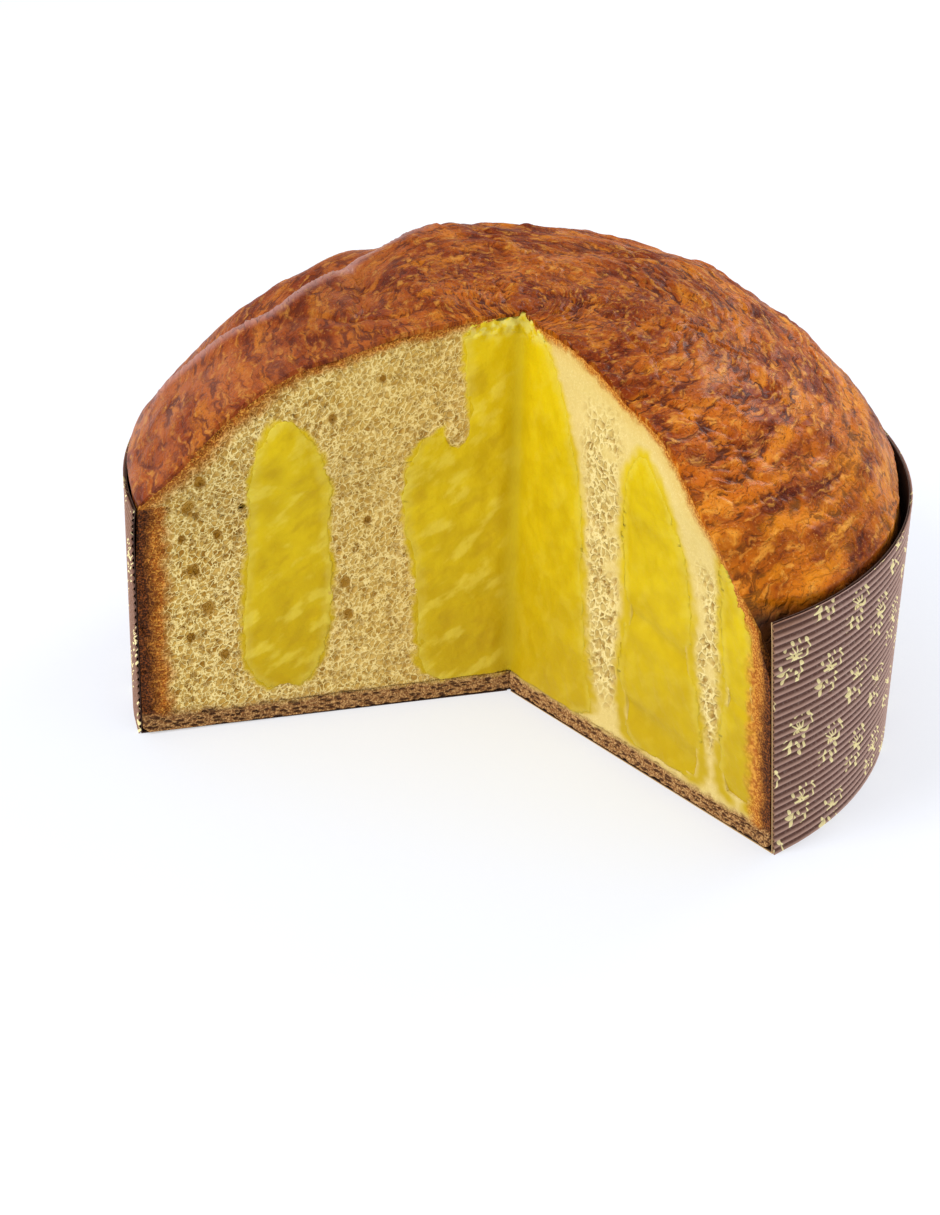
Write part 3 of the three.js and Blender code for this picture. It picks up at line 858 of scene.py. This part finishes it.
def inner_edge(cut, height):
    """Where the crumb's net begins: behind the core's edge, behind the nub that hangs into the core on
    the left, and at the apex below the core."""
    edge = np.maximum(core_edge(cut, height) - TUCKED_IN, 2)
    if cut is LEFT_CUT:
        beside_nub = smooth(np.abs(height - NUB["height"]), NUB["half"] + 1.5, NUB["half"])
        edge = lerp(edge, np.minimum(edge, NUB["from"]), beside_nub)
    return np.where(height < CORE_FOOT, APEX_GAP, edge)


def crust_line(angle_at, inside):
    """The line along which a cut meets the crust, this far below its surface, as distances from the apex
    and heights. angle_at gives the cut's angle at a height."""
    height = np.full(TABLE_STEPS, CASE_HEIGHT + DOME_RISE / 2)
    for _ in range(3):
        line = crust_point(angle_at(height), np.linspace(0, 1, TABLE_STEPS), inside)
        height = line[:, 2]
    return np.column_stack((apex_to(line), height))


def crumb_form(cut):
    """How the crumb's pattern is wrapped: its four borders at each step round the loaf, with the inside
    blended between them."""
    opposite = LEFT_CUT if cut is RIGHT_CUT else RIGHT_CUT

    def form(across, along, layer):
        points = np.zeros((len(across), 3))
        share = np.linspace(0, 1, TABLE_STEPS)
        for step in range(CRUMB_SWEEPS + 1):
            def turned(height):
                turn = step / CRUMB_SWEEPS / 2
                return lerp(cut_angle(cut, height), cut_angle(opposite, height), turn)

            chosen = np.abs(layer - step) < 0.5
            s, t = across[chosen], along[chosen]
            under = CRUMB_UNDER_SKIN * (1 - smooth(share, SHOULDER_AT - 0.06, SHOULDER_AT + 0.04))
            if step:
                under = CRUMB_UNDER_SKIN + CRUMB_DEEPER_BEHIND
            slope = crust_line(turned, under)
            slope = slope[slope[:, 1] > CRUMB_SHOULDER]
            slope = slope[slope[:, 0] > inner_edge(cut, slope[:, 1])]
            length = np.concatenate(([0], np.cumsum(np.hypot(*np.diff(slope, axis=0).T))))
            length /= length[-1]
            height = lerp(BASE, slope[-1, 1], t)
            low_turn = reach(turned(0.0), LOAF_RADIUS)
            foot = low_turn - BASE_ROUNDING * np.clip(1 - (height - BASE) / BASE_ROUNDING, 0, 1) ** 2
            easing = lerp(0, slope[-1, 0] - low_turn, smooth(height, CRUMB_SHOULDER - 14, slope[-1, 1]))
            if cut is RIGHT_CUT:
                easing = easing - WALL_GAP * smooth(height, 6, 40) * smooth(height, CRUMB_SHOULDER, 50)
            elif step == 0:
                easing = easing + LEFT_REACH * smooth(height, CRUMB_SHOULDER, 50)
            right = np.column_stack((foot + easing, height))
            left_height = lerp(BASE, slope[0, 1], t)
            left = np.column_stack((inner_edge(cut, left_height), left_height))
            left[:, 0] += (slope[0, 0] - inner_edge(cut, slope[0, 1])) * t
            upper = np.column_stack([np.interp(s, length, slope[:, part]) for part in (0, 1)])
            low_left = np.array((APEX_GAP, BASE))
            low_right = np.array((low_turn - BASE_ROUNDING, BASE))
            lower = lerp(low_left, low_right, s[:, None])
            s, t = s[:, None], t[:, None]
            corners = lerp(lerp(low_left, low_right, s), lerp(slope[0], slope[-1], s), t)
            flat = lerp(lower, upper, t) + lerp(left, right, s) - corners
            points[chosen] = from_apex(turned(flat[:, 1]), flat[:, 0], flat[:, 1])
        return points
    return form


def pocket_depth(pocket, out, height):
    """How deep the hollow of a pocket is behind the cut."""
    rows = np.array(pocket["outline"], float)
    near = np.interp(height, rows[:, 0], rows[:, 1])
    far = np.interp(height, rows[:, 0], rows[:, 2])
    widest = (rows[:, 2] - rows[:, 1]).max()
    within = (height > rows[0, 0] + HOLLOW_MARGIN) & (height < rows[-1, 0] - HOLLOW_MARGIN)
    half = np.maximum((far - near) / 2 - HOLLOW_MARGIN, 0.01)
    aside = np.clip((out - (near + far) / 2) / half, -1, 1)
    full = pocket["depth"] * ((far - near) / widest) ** 0.6
    return np.where(within, full * np.sqrt(1 - aside**2), 0)


def outline_of(pocket):
    """A pocket's outline as points on the cut."""
    rows = np.array(pocket["outline"], float)
    near = curve(rows[:, [1, 0]], TABLE_STEPS)
    far = curve(rows[:, [2, 0]], TABLE_STEPS)
    return np.vstack((near, far))


def pits(points, size, shift=0.0):
    """Round hollows of about this size: 1 in the middle of each, 0 on the walls between them."""
    near, wall = bubbles(points, size, shift)
    return smooth(near, 0.64, 0.2) * smooth(wall, 0.03, 0.26)


def wall_bake(to_wall, ragged, uneven):
    """How brown the crumb is, by its distance to the paper."""
    return np.clip(1.1 - (to_wall + 1.2 * ragged + 1.2 * uneven) / WALL_BAKE, 0, 1)


def inward_from(cut, height):
    """The level way from a cut into the bread."""
    angle = cut_angle(cut, height)
    return np.column_stack((-np.sin(angle), np.cos(angle), np.zeros_like(angle))) * cut["inward"]


def side_of(cut):
    return "left" if cut is LEFT_CUT else "right"


def browned(cut, out, height, ragged, uneven):
    """How brown the crumb is under the crust and by the paper, how much it belongs to the sole at the foot,
    and how far it is to the crust."""
    to_crust = gap_to(out, height, crust_line(lambda at_height: cut_angle(cut, at_height), SKIN))
    to_wall = np.where(height < CASE_HEIGHT, reach(cut_angle(cut, height), LOAF_RADIUS) - out, 99)
    if cut is LEFT_CUT:
        width = lerp(3.4, 7.0, smooth(out, 50, 88))
    else:
        width = lerp(2.6, 5.0, smooth(out, 70, 95))
    under_crust = np.clip(1.1 - (to_crust + 1.2 * ragged + 0.8 * uneven) / width, 0, 1) * TOP_BAKE
    sole = np.clip(1.25 - (height - BASE + 0.9 * ragged + 0.8 * uneven) / SOLE, 0, 1)
    return np.maximum(under_crust, wall_bake(to_wall, ragged, uneven)), sole, to_crust


def openness(cut, out, height, uneven):
    """How open the pores are. The knife pressed most of them shut on the right, but for a band beside the
    core and a strip near the crust."""
    if cut is LEFT_CUT:
        return lerp(0.75, 1.0, smooth(out, 36, 78))
    band = np.exp(-(((out - 37) / 7.5) ** 4)) * smooth(height, 106, 92) * smooth(height, 10, 24)
    strip = smooth(out, 72, 76) * smooth(out, 88, 84) * smooth(height, 16, 26) * smooth(height, 78, 66)
    return 0.05 + 0.95 * np.maximum(band, strip) * smooth(uneven, -0.7, -0.1)


def big_holes(cut, out, height, ragged):
    """1 in the middle of each big hole, 0 outside. Only the left cut has them."""
    total = np.zeros_like(out)
    if cut is LEFT_CUT:
        for hole_out, hole_height, size in BIG_HOLES:
            gap = np.hypot((out - hole_out) * 1.1, (height - hole_height) * 0.85) + 0.35 * ragged
            total = np.maximum(total, np.sqrt(np.clip(1 - (gap / size) ** 2, 0, 1)))
    return total


def nub_gap(out, height):
    """The square of the distance to the nub's middle, 1 at about its edge."""
    return ((out - NUB["out"]) / NUB["across"]) ** 2 + ((height - NUB["height"]) / NUB["up"]) ** 2


def smeared(cut, pockets, out, height, ragged, uneven):
    """Where cream lies thinly on the crumb: in the core and drawn out by the knife round each edge."""
    width = SMEAR[side_of(cut)]
    core = out - core_edge(cut, height)
    total = np.maximum(smooth(np.abs(core) + 1.3 * ragged + 1.1 * uneven, width, 0.3), core < 0)
    for pocket in pockets:
        gap = gap_to(out, height, outline_of(pocket))
        total = np.maximum(total, smooth(gap + 1.1 * ragged + 1.1 * uneven, width, 0.3))
    if cut is LEFT_CUT:
        total = np.minimum(total, smooth(nub_gap(out, height), 0.55, 1.3))
    return total


def crumb_half(name, cut, pockets):
    """The crumb from one cut to the middle of the back, with its pores and the hollows for its pockets."""
    mesh = wrap(name, crumb_net(), crumb_form(cut))
    at = points_of(mesh)
    height = at[:, 2]
    out = apex_to(at)
    behind = np.degrees(past_cut(cut, at)) * cut["inward"]
    on_face = (np.abs((behind + 180) % 360 - 180) < ON_FACE) | (out < 1)
    face = np.column_stack((out, height, np.full_like(out, 50.0 * cut["inward"])))
    slanted = np.column_stack((out * 0.8 - height * 0.6, (out * 0.6 + height * 0.8) * 0.74, face[:, 2]))
    slanted += 0.7 * wander(face, 3.0, (0.0, 9.0, 19.0))
    flat_lying = np.column_stack((out * 0.42, height * 1.1, face[:, 2]))
    flat_lying += 0.5 * wander(face, 3.0, (5.0, 25.0, 35.0))
    ragged = ripples(face, 2.2, 31.0)
    uneven = ripples(face, 6.0, 61.0)

    bake, sole, to_crust = browned(cut, out, height, ragged, uneven)
    opened = openness(cut, out, height, uneven)
    big = big_holes(cut, out, height, ragged)
    wide = pits(slanted, PORE_SIZE[side_of(cut)]) * smooth(ripples(face, 4.0, 71.0), -0.35, 0.05)
    fine = pits(slanted, PORE_SIZE["fine"], 13.0)
    on_sole = pits(flat_lying, PORE_SIZE["sole"], 47.0)
    in_sole = np.clip(1.6 * sole, 0, 1)
    smear = smeared(cut, pockets, out, height, ragged, uneven) * (1 - np.clip(2 * sole, 0, 1))
    pore = lerp(0.8 * wide * opened, on_sole, in_sole)
    pore = np.maximum(pore, 0.8 * fine * np.clip(2 * bake, 0, 1)) * (1 - SMEARED_FLAT * smear)

    depth = 0.6 * wide * opened + FINE_DEPTH[side_of(cut)] * fine * opened + HOLE_DEPTH * big
    depth = lerp(depth, 0.55 * on_sole, in_sole) * (1 - SMEARED_FLAT * smear) - 0.1 * ragged
    if cut is LEFT_CUT:
        depth -= NUB["rise"] * np.exp(-nub_gap(out, height))
    for pocket in pockets:
        depth += pocket_depth(pocket, out, height)
    move_points(mesh, at + inward_from(cut, height) * (depth * on_face)[:, None])
    # The pits' depth and the big holes, which the material paints darker as painted shade.
    mark(mesh, "pore", np.clip(pore, 0, 1))
    mark(mesh, "open", opened * (1 - 0.8 * np.clip(smear, 0, 1)))
    mark(mesh, "hole", big)
    mark(mesh, "bake", bake)
    mark(mesh, "sole", sole)
    mark(mesh, "smear", np.clip(smear, 0, 1))
    mark(mesh, "pale", (cut is RIGHT_CUT) * smooth(to_crust, 1, 7))
    return mesh


def cream_yellow(shade):
    """The cream's colour: painted shade makes it deeper low down in the cut, and painted light brighter at
    the top.
    """
    z = shade.parts()[2]
    soft = shade.grain(8.0, 2.0)
    yellow = soft.between(0.3, 0.7).pick(colour(204, 172, 2), colour(220, 190, 10))
    # Painted shade low down in the cut, and painted light towards the top.
    yellow = ((1 - z.between(8.0, 66.0)) * 0.65).pick(yellow, colour(190, 156, 6))
    yellow = (z.between(70.0, 105.0) * 0.6).pick(yellow, colour(230, 200, 6))
    dab = z.between(106.5, 111.5) * shade.grain(2.4, 2.0).between(0.4, 0.56)
    return (dab * 0.7).pick(yellow, colour(236, 228, 130))


crumb, shade = material_of("golden crumb", {"Specular IOR Level": 0.12})
bake = shade.marked("bake")
sole = shade.marked("sole")
pore = shade.marked("pore")
opened = shade.marked("open")
pale = shade.marked("pale")
tiny = shade.grain(0.5, 2.0)
cloud = shade.grain(9.0, 2.0)
netted = shade.add_vectors(shade.leaning(38, 1.5), shade.clouds(1.6), 1.7)
small_cells = lerp(shade.cells(1.3, netted), shade.cells(2.1, netted), pale)
large_cells = shade.cells(2.7, netted)
hollow = small_cells.between(0.06, 0.22) * (0.5 + 0.5 * large_cells.between(0.04, 0.3)) * opened
dough = pale.pick(colour(222, 186, 98), colour(232, 206, 128))
dough = (cloud.between(0.35, 0.7) * 0.7).pick(dough, pale.pick(colour(232, 200, 118), colour(226, 200, 118)))
dough = (tiny.between(0.5, 0.75) * 0.5).pick(dough, colour(248, 226, 156))
# Painted highlight on the cell walls.
walls = (1 - small_cells.between(0.03, 0.14)) * tiny.between(0.25, 0.6)
dough = (walls * opened * 0.85).pick(dough, colour(254, 234, 166))
# Painted shade inside the cells, deepest in the large ones, in the pits and in the big holes.
dough = (hollow * 0.95).pick(dough, pale.pick(colour(182, 134, 44), colour(198, 164, 86)))
dough = (hollow * large_cells.between(0.2, 0.4) * 0.6).pick(dough, colour(140, 90, 24))
dough = (pore * 0.7).pick(dough, colour(168, 120, 38))
dough = (shade.marked("hole").between(0.0, 0.9) * 0.85).pick(dough, colour(182, 132, 34))
dough = (shade.marked("smear") * 0.95).pick(dough, cream_yellow(shade))
baked = tiny.between(0.4, 0.65).pick(colour(170, 92, 24), colour(226, 158, 66))
# Painted shade in the pores of the browned crumb.
baked = (hollow * 0.8).pick(baked, colour(124, 60, 16))
dough = bake.between(0.02, 0.5).pick(dough, baked)
dark = tiny.between(0.42, 0.68).pick(colour(48, 24, 14), colour(136, 70, 30))
dough = (bake.between(0.5, 0.95) * 0.95).pick(dough, dark)
under = tiny.between(0.4, 0.68).pick(colour(134, 88, 48), colour(210, 164, 106))
# Painted shade in the pores of the sole.
under = (pore.between(0.2, 0.7) * 0.9).pick(under, colour(80, 48, 30))
dough = sole.between(0.05, 0.6).pick(dough, under)
join(crumb, {
    "Base Color": dough,
    "Roughness": 0.6 + 0.25 * tiny,
    "Normal": shade.bump(0.3 * tiny - hollow, 0.6, 0.85),
})
left_crumb = crumb_half("crumb_left", LEFT_CUT, [LEFT_POCKET])
finished("crumb_left", left_crumb, crumb, "crumb", "loaf")
right_crumb = crumb_half("crumb_right", RIGHT_CUT, [MIDDLE_POCKET, OUTER_POCKET])
finished("crumb_right", right_crumb, crumb, "crumb", "loaf")

# The custard cream
# Soft yellow custard piped into the loaf: a core from the base to the top, where a dab of it shows in
# the crust, and three pockets. The knife smeared it a little over the crumb on both cuts.
VOXEL = 0.6
DAB_FROM = 107.5
DAB_SINK = 0.8
CORNER_SOFT = 8.0
CORNER_ROUNDS = 44
CORNER_SHADE_WIDTH = 3.4


def cream_mesh(node):
    """A copy of a CAD node as one even skin, in millimetres."""
    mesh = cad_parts[node].data.copy()
    net = bmesh.new()
    net.from_mesh(mesh)
    bmesh.ops.remove_doubles(net, verts=net.verts, dist=1e-6)
    bmesh.ops.scale(net, vec=(1 / MM,) * 3, verts=net.verts)
    bmesh.ops.translate(net, vec=(0, -AXIS_Y, 0), verts=net.verts)
    net.to_mesh(mesh)
    net.free()
    rough = bpy.data.objects.new("rough_" + node, mesh)
    bpy.context.scene.collection.objects.link(rough)
    remesh = rough.modifiers.new("even", "REMESH")
    remesh.mode = "VOXEL"
    remesh.voxel_size = VOXEL
    bpy.context.view_layer.update()
    even = bpy.data.meshes.new_from_object(rough.evaluated_get(bpy.context.evaluated_depsgraph_get()))
    bpy.data.objects.remove(rough)
    return even


def soften_corner(mesh):
    """Rounds the cream where the two cuts meet."""
    net = bmesh.new()
    net.from_mesh(mesh)
    corner = [v for v in net.verts if math.hypot(v.co.x, v.co.y - APEX_Y) < CORNER_SOFT and v.co.z > 9]
    for _ in range(CORNER_ROUNDS):
        bmesh.ops.smooth_vert(
            net, verts=corner, factor=0.5, use_axis_x=True, use_axis_y=True, use_axis_z=True,
        )
    for face in net.faces:
        face.smooth = True
    net.to_mesh(mesh)
    net.free()


def spread_cream(mesh, cuts):
    """Gives the cut cream its knife strokes, lumps and thin smeared edge. Each cut comes with the outline
    of the cream on it."""
    thin = np.zeros(len(mesh.vertices))
    stroked_at = np.zeros(len(mesh.vertices))
    for cut, outline in cuts:
        at = points_of(mesh)
        facing = points_of(mesh, "normal")
        height = at[:, 2]
        inward = inward_from(cut, height)
        behind = np.einsum("ij,ij->i", at - (0, APEX_Y, 0), inward)
        face_angle = cut_angle(cut, height)
        along_cut = at[:, 0] * np.cos(face_angle) + (at[:, 1] - APEX_Y) * np.sin(face_angle)
        to_cut = behind * smooth(np.abs(behind), 1.0, 0.6) * smooth(along_cut, 2.5, 6)
        at = at - inward * to_cut[:, None]
        near = smooth(behind, 1.6, 0.4) * smooth(along_cut, 1, 6)
        to_edge = gap_to(along_cut, height, outline)
        middle = smooth(to_edge, 0.2, 3.5)
        slanted = np.column_stack((
            along_cut * 0.9 + height * 0.5,
            height * 0.35 - along_cut * 0.3,
            behind * 0.2,
        ))
        proud = 0.06 + middle * (0.3 + 0.4 * ripples(at, 9.0, 3.0) + 0.3 * ripples(slanted, 3.4, 5.0))
        proud += 0.1 * ripples(at, 1.6, 8.0)
        sideways = facing - inward * np.einsum("ij,ij->i", facing, inward)[:, None]
        spread = np.maximum(0.8 + 1.2 * ripples(at, 6.0, 12.0) + 0.8 * ripples(at, 2.0, 14.0), 0.3)
        at = at - inward * (proud * near)[:, None] + sideways * (spread * near * (1 - middle))[:, None]
        move_points(mesh, at)
        ragged = 1.3 * ripples(at, 3.0, 33.0) + 0.8 * ripples(at, 1.2, 43.0)
        thin = np.maximum(thin, near * smooth(to_edge + ragged, 2.6, -0.4))
        if cut is LEFT_CUT:
            stroked_at = near
    mark(mesh, "thin", thin)
    # 1 along the line where the two cuts meet, for painted shade in that inner corner.
    mark(mesh, "corner", bell(apex_to(at), CORNER_SHADE_WIDTH))
    mark(mesh, "stroked", stroked_at)
    to_wall = LOAF_RADIUS - np.hypot(at[:, 0], at[:, 1])
    bake = wall_bake(to_wall, ripples(at, 2.2, 31.0), ripples(at, 6.0, 61.0))
    mark(mesh, "bake", bake * (height < CASE_HEIGHT))


def core_outline(cut):
    """The core's edge as points on a cut."""
    height = np.linspace(CORE_FOOT, CORE_EDGE[-1][0], TABLE_STEPS)
    return np.column_stack((core_edge(cut, height), height))


cream, shade = material_of("custard cream", {
    "Specular IOR Level": 0.14,
    "Subsurface Weight": 0.12,
    "Subsurface Scale": 0.002,
    "Subsurface Radius": (1.0, 0.7, 0.15),
})
strokes = shade.grain(5.0, 4.0, shade.leaning(52, 2.4))
specks = shade.grain(1.1, 3.0)
stroked = 0.25 + 0.75 * shade.marked("stroked")
yellow = cream_yellow(shade)
yellow = (strokes.between(0.52, 0.66) * stroked * 0.5).pick(yellow, colour(234, 212, 76))
yellow = ((1 - strokes.between(0.32, 0.47)) * stroked * 0.45).pick(yellow, colour(186, 148, 6))
yellow = (shade.marked("thin") * 0.25).pick(yellow, colour(234, 216, 104))
# Painted shade in the inner corner where the two cuts meet.
yellow = (shade.marked("corner") * 0.5).pick(yellow, colour(178, 150, 8))
toasted = specks.between(0.4, 0.65).pick(colour(176, 98, 24), colour(226, 158, 60))
yellow = shade.marked("bake").between(0.05, 0.5).pick(yellow, toasted)
join(cream, {
    "Base Color": yellow,
    "Roughness": 0.4 + 0.22 * specks,
    "Normal": shade.bump(specks + 1.2 * strokes, 0.2, 0.6),
})
CREAMS = {
    "cream_core": [(LEFT_CUT, core_outline(LEFT_CUT)), (RIGHT_CUT, core_outline(RIGHT_CUT))],
    "cream_left": [(LEFT_CUT, outline_of(LEFT_POCKET))],
    "cream_middle": [(RIGHT_CUT, outline_of(MIDDLE_POCKET))],
    "cream_outer": [(RIGHT_CUT, outline_of(OUTER_POCKET))],
}
for node, cuts in CREAMS.items():
    mesh = cream_mesh(node)
    soften_corner(mesh)
    spread_cream(mesh, cuts)
    at = points_of(mesh)
    lumpy = smooth(at[:, 2], DAB_FROM, DAB_FROM + 3)
    swell = (1.2 * ripples(at, 2.4, 6.0) + 0.6 * ripples(at, 1.2, 2.0) - 0.2) * lumpy
    at = at + points_of(mesh, "normal") * swell[:, None]
    at[:, 2] -= DAB_SINK * lumpy
    move_points(mesh, at)
    finished(node.replace("cream", "custard"), mesh, cream, "cream", node)

# The floor, the light and the camera
# A plain white table top in a white room, one large soft lamp from the left and above, and a camera that
# looks down into the cut.
FLOOR_SIZE = 6.0
CAMERA_PLACE = (-0.0116, -0.6367, 0.3748)
CAMERA_TILT = math.radians(60.8)
CAMERA_ROLL = math.radians(1.7)
CAMERA_LENS = 77.0
SKY = 0.78

floor_net = bmesh.new()
bmesh.ops.create_grid(floor_net, x_segments=1, y_segments=1, size=FLOOR_SIZE / 2)
floor_mesh = bpy.data.meshes.new("floor")
floor_net.to_mesh(floor_mesh)
floor_net.free()
floor = bpy.data.objects.new("floor", floor_mesh)
bpy.context.scene.collection.objects.link(floor)
table_white, _ = material_of("white table", {
    "Base Color": (0.45, 0.48, 0.55, 1),
    "Roughness": 0.9,
    "Specular IOR Level": 0.0,
    "Emission Color": (1, 1, 1, 1),
    "Emission Strength": 0.5,
})
floor_mesh.materials.append(table_white)

world = bpy.data.worlds.new("white room")
world.use_nodes = True
bpy.context.scene.world = world
room = world.node_tree.nodes["Background"]
room.inputs["Color"].default_value = (1, 1, 1, 1)
room.inputs["Strength"].default_value = SKY


def lamp(name, place, target, size, power):
    """A round soft lamp that shines at a point."""
    data = bpy.data.lights.new(name, "AREA")
    data.shape = "DISK"
    data.size = size
    data.energy = power
    light = bpy.data.objects.new(name, data)
    bpy.context.scene.collection.objects.link(light)
    light.location = place
    light.rotation_euler = (Vector(target) - Vector(place)).to_track_quat("-Z", "Y").to_euler()


lamp("key lamp", (-0.75, -0.55, 1.0), (0, 0, 0.05), 0.5, 7.5)
lamp("back lamp", (0.7, 0.8, 0.8), (0, 0, 0.08), 0.6, 5)

camera_data = bpy.data.cameras.new("camera")
camera_data.lens = CAMERA_LENS
camera_data.sensor_width = 36
camera = bpy.data.objects.new("camera", camera_data)
bpy.context.scene.collection.objects.link(camera)
facing = Matrix.Rotation(CAMERA_TILT, 4, "X") @ Matrix.Rotation(CAMERA_ROLL, 4, "Z")
camera.matrix_world = Matrix.Translation(CAMERA_PLACE) @ facing
bpy.context.scene.camera = camera
bpy.context.scene.view_settings.view_transform = "Standard"
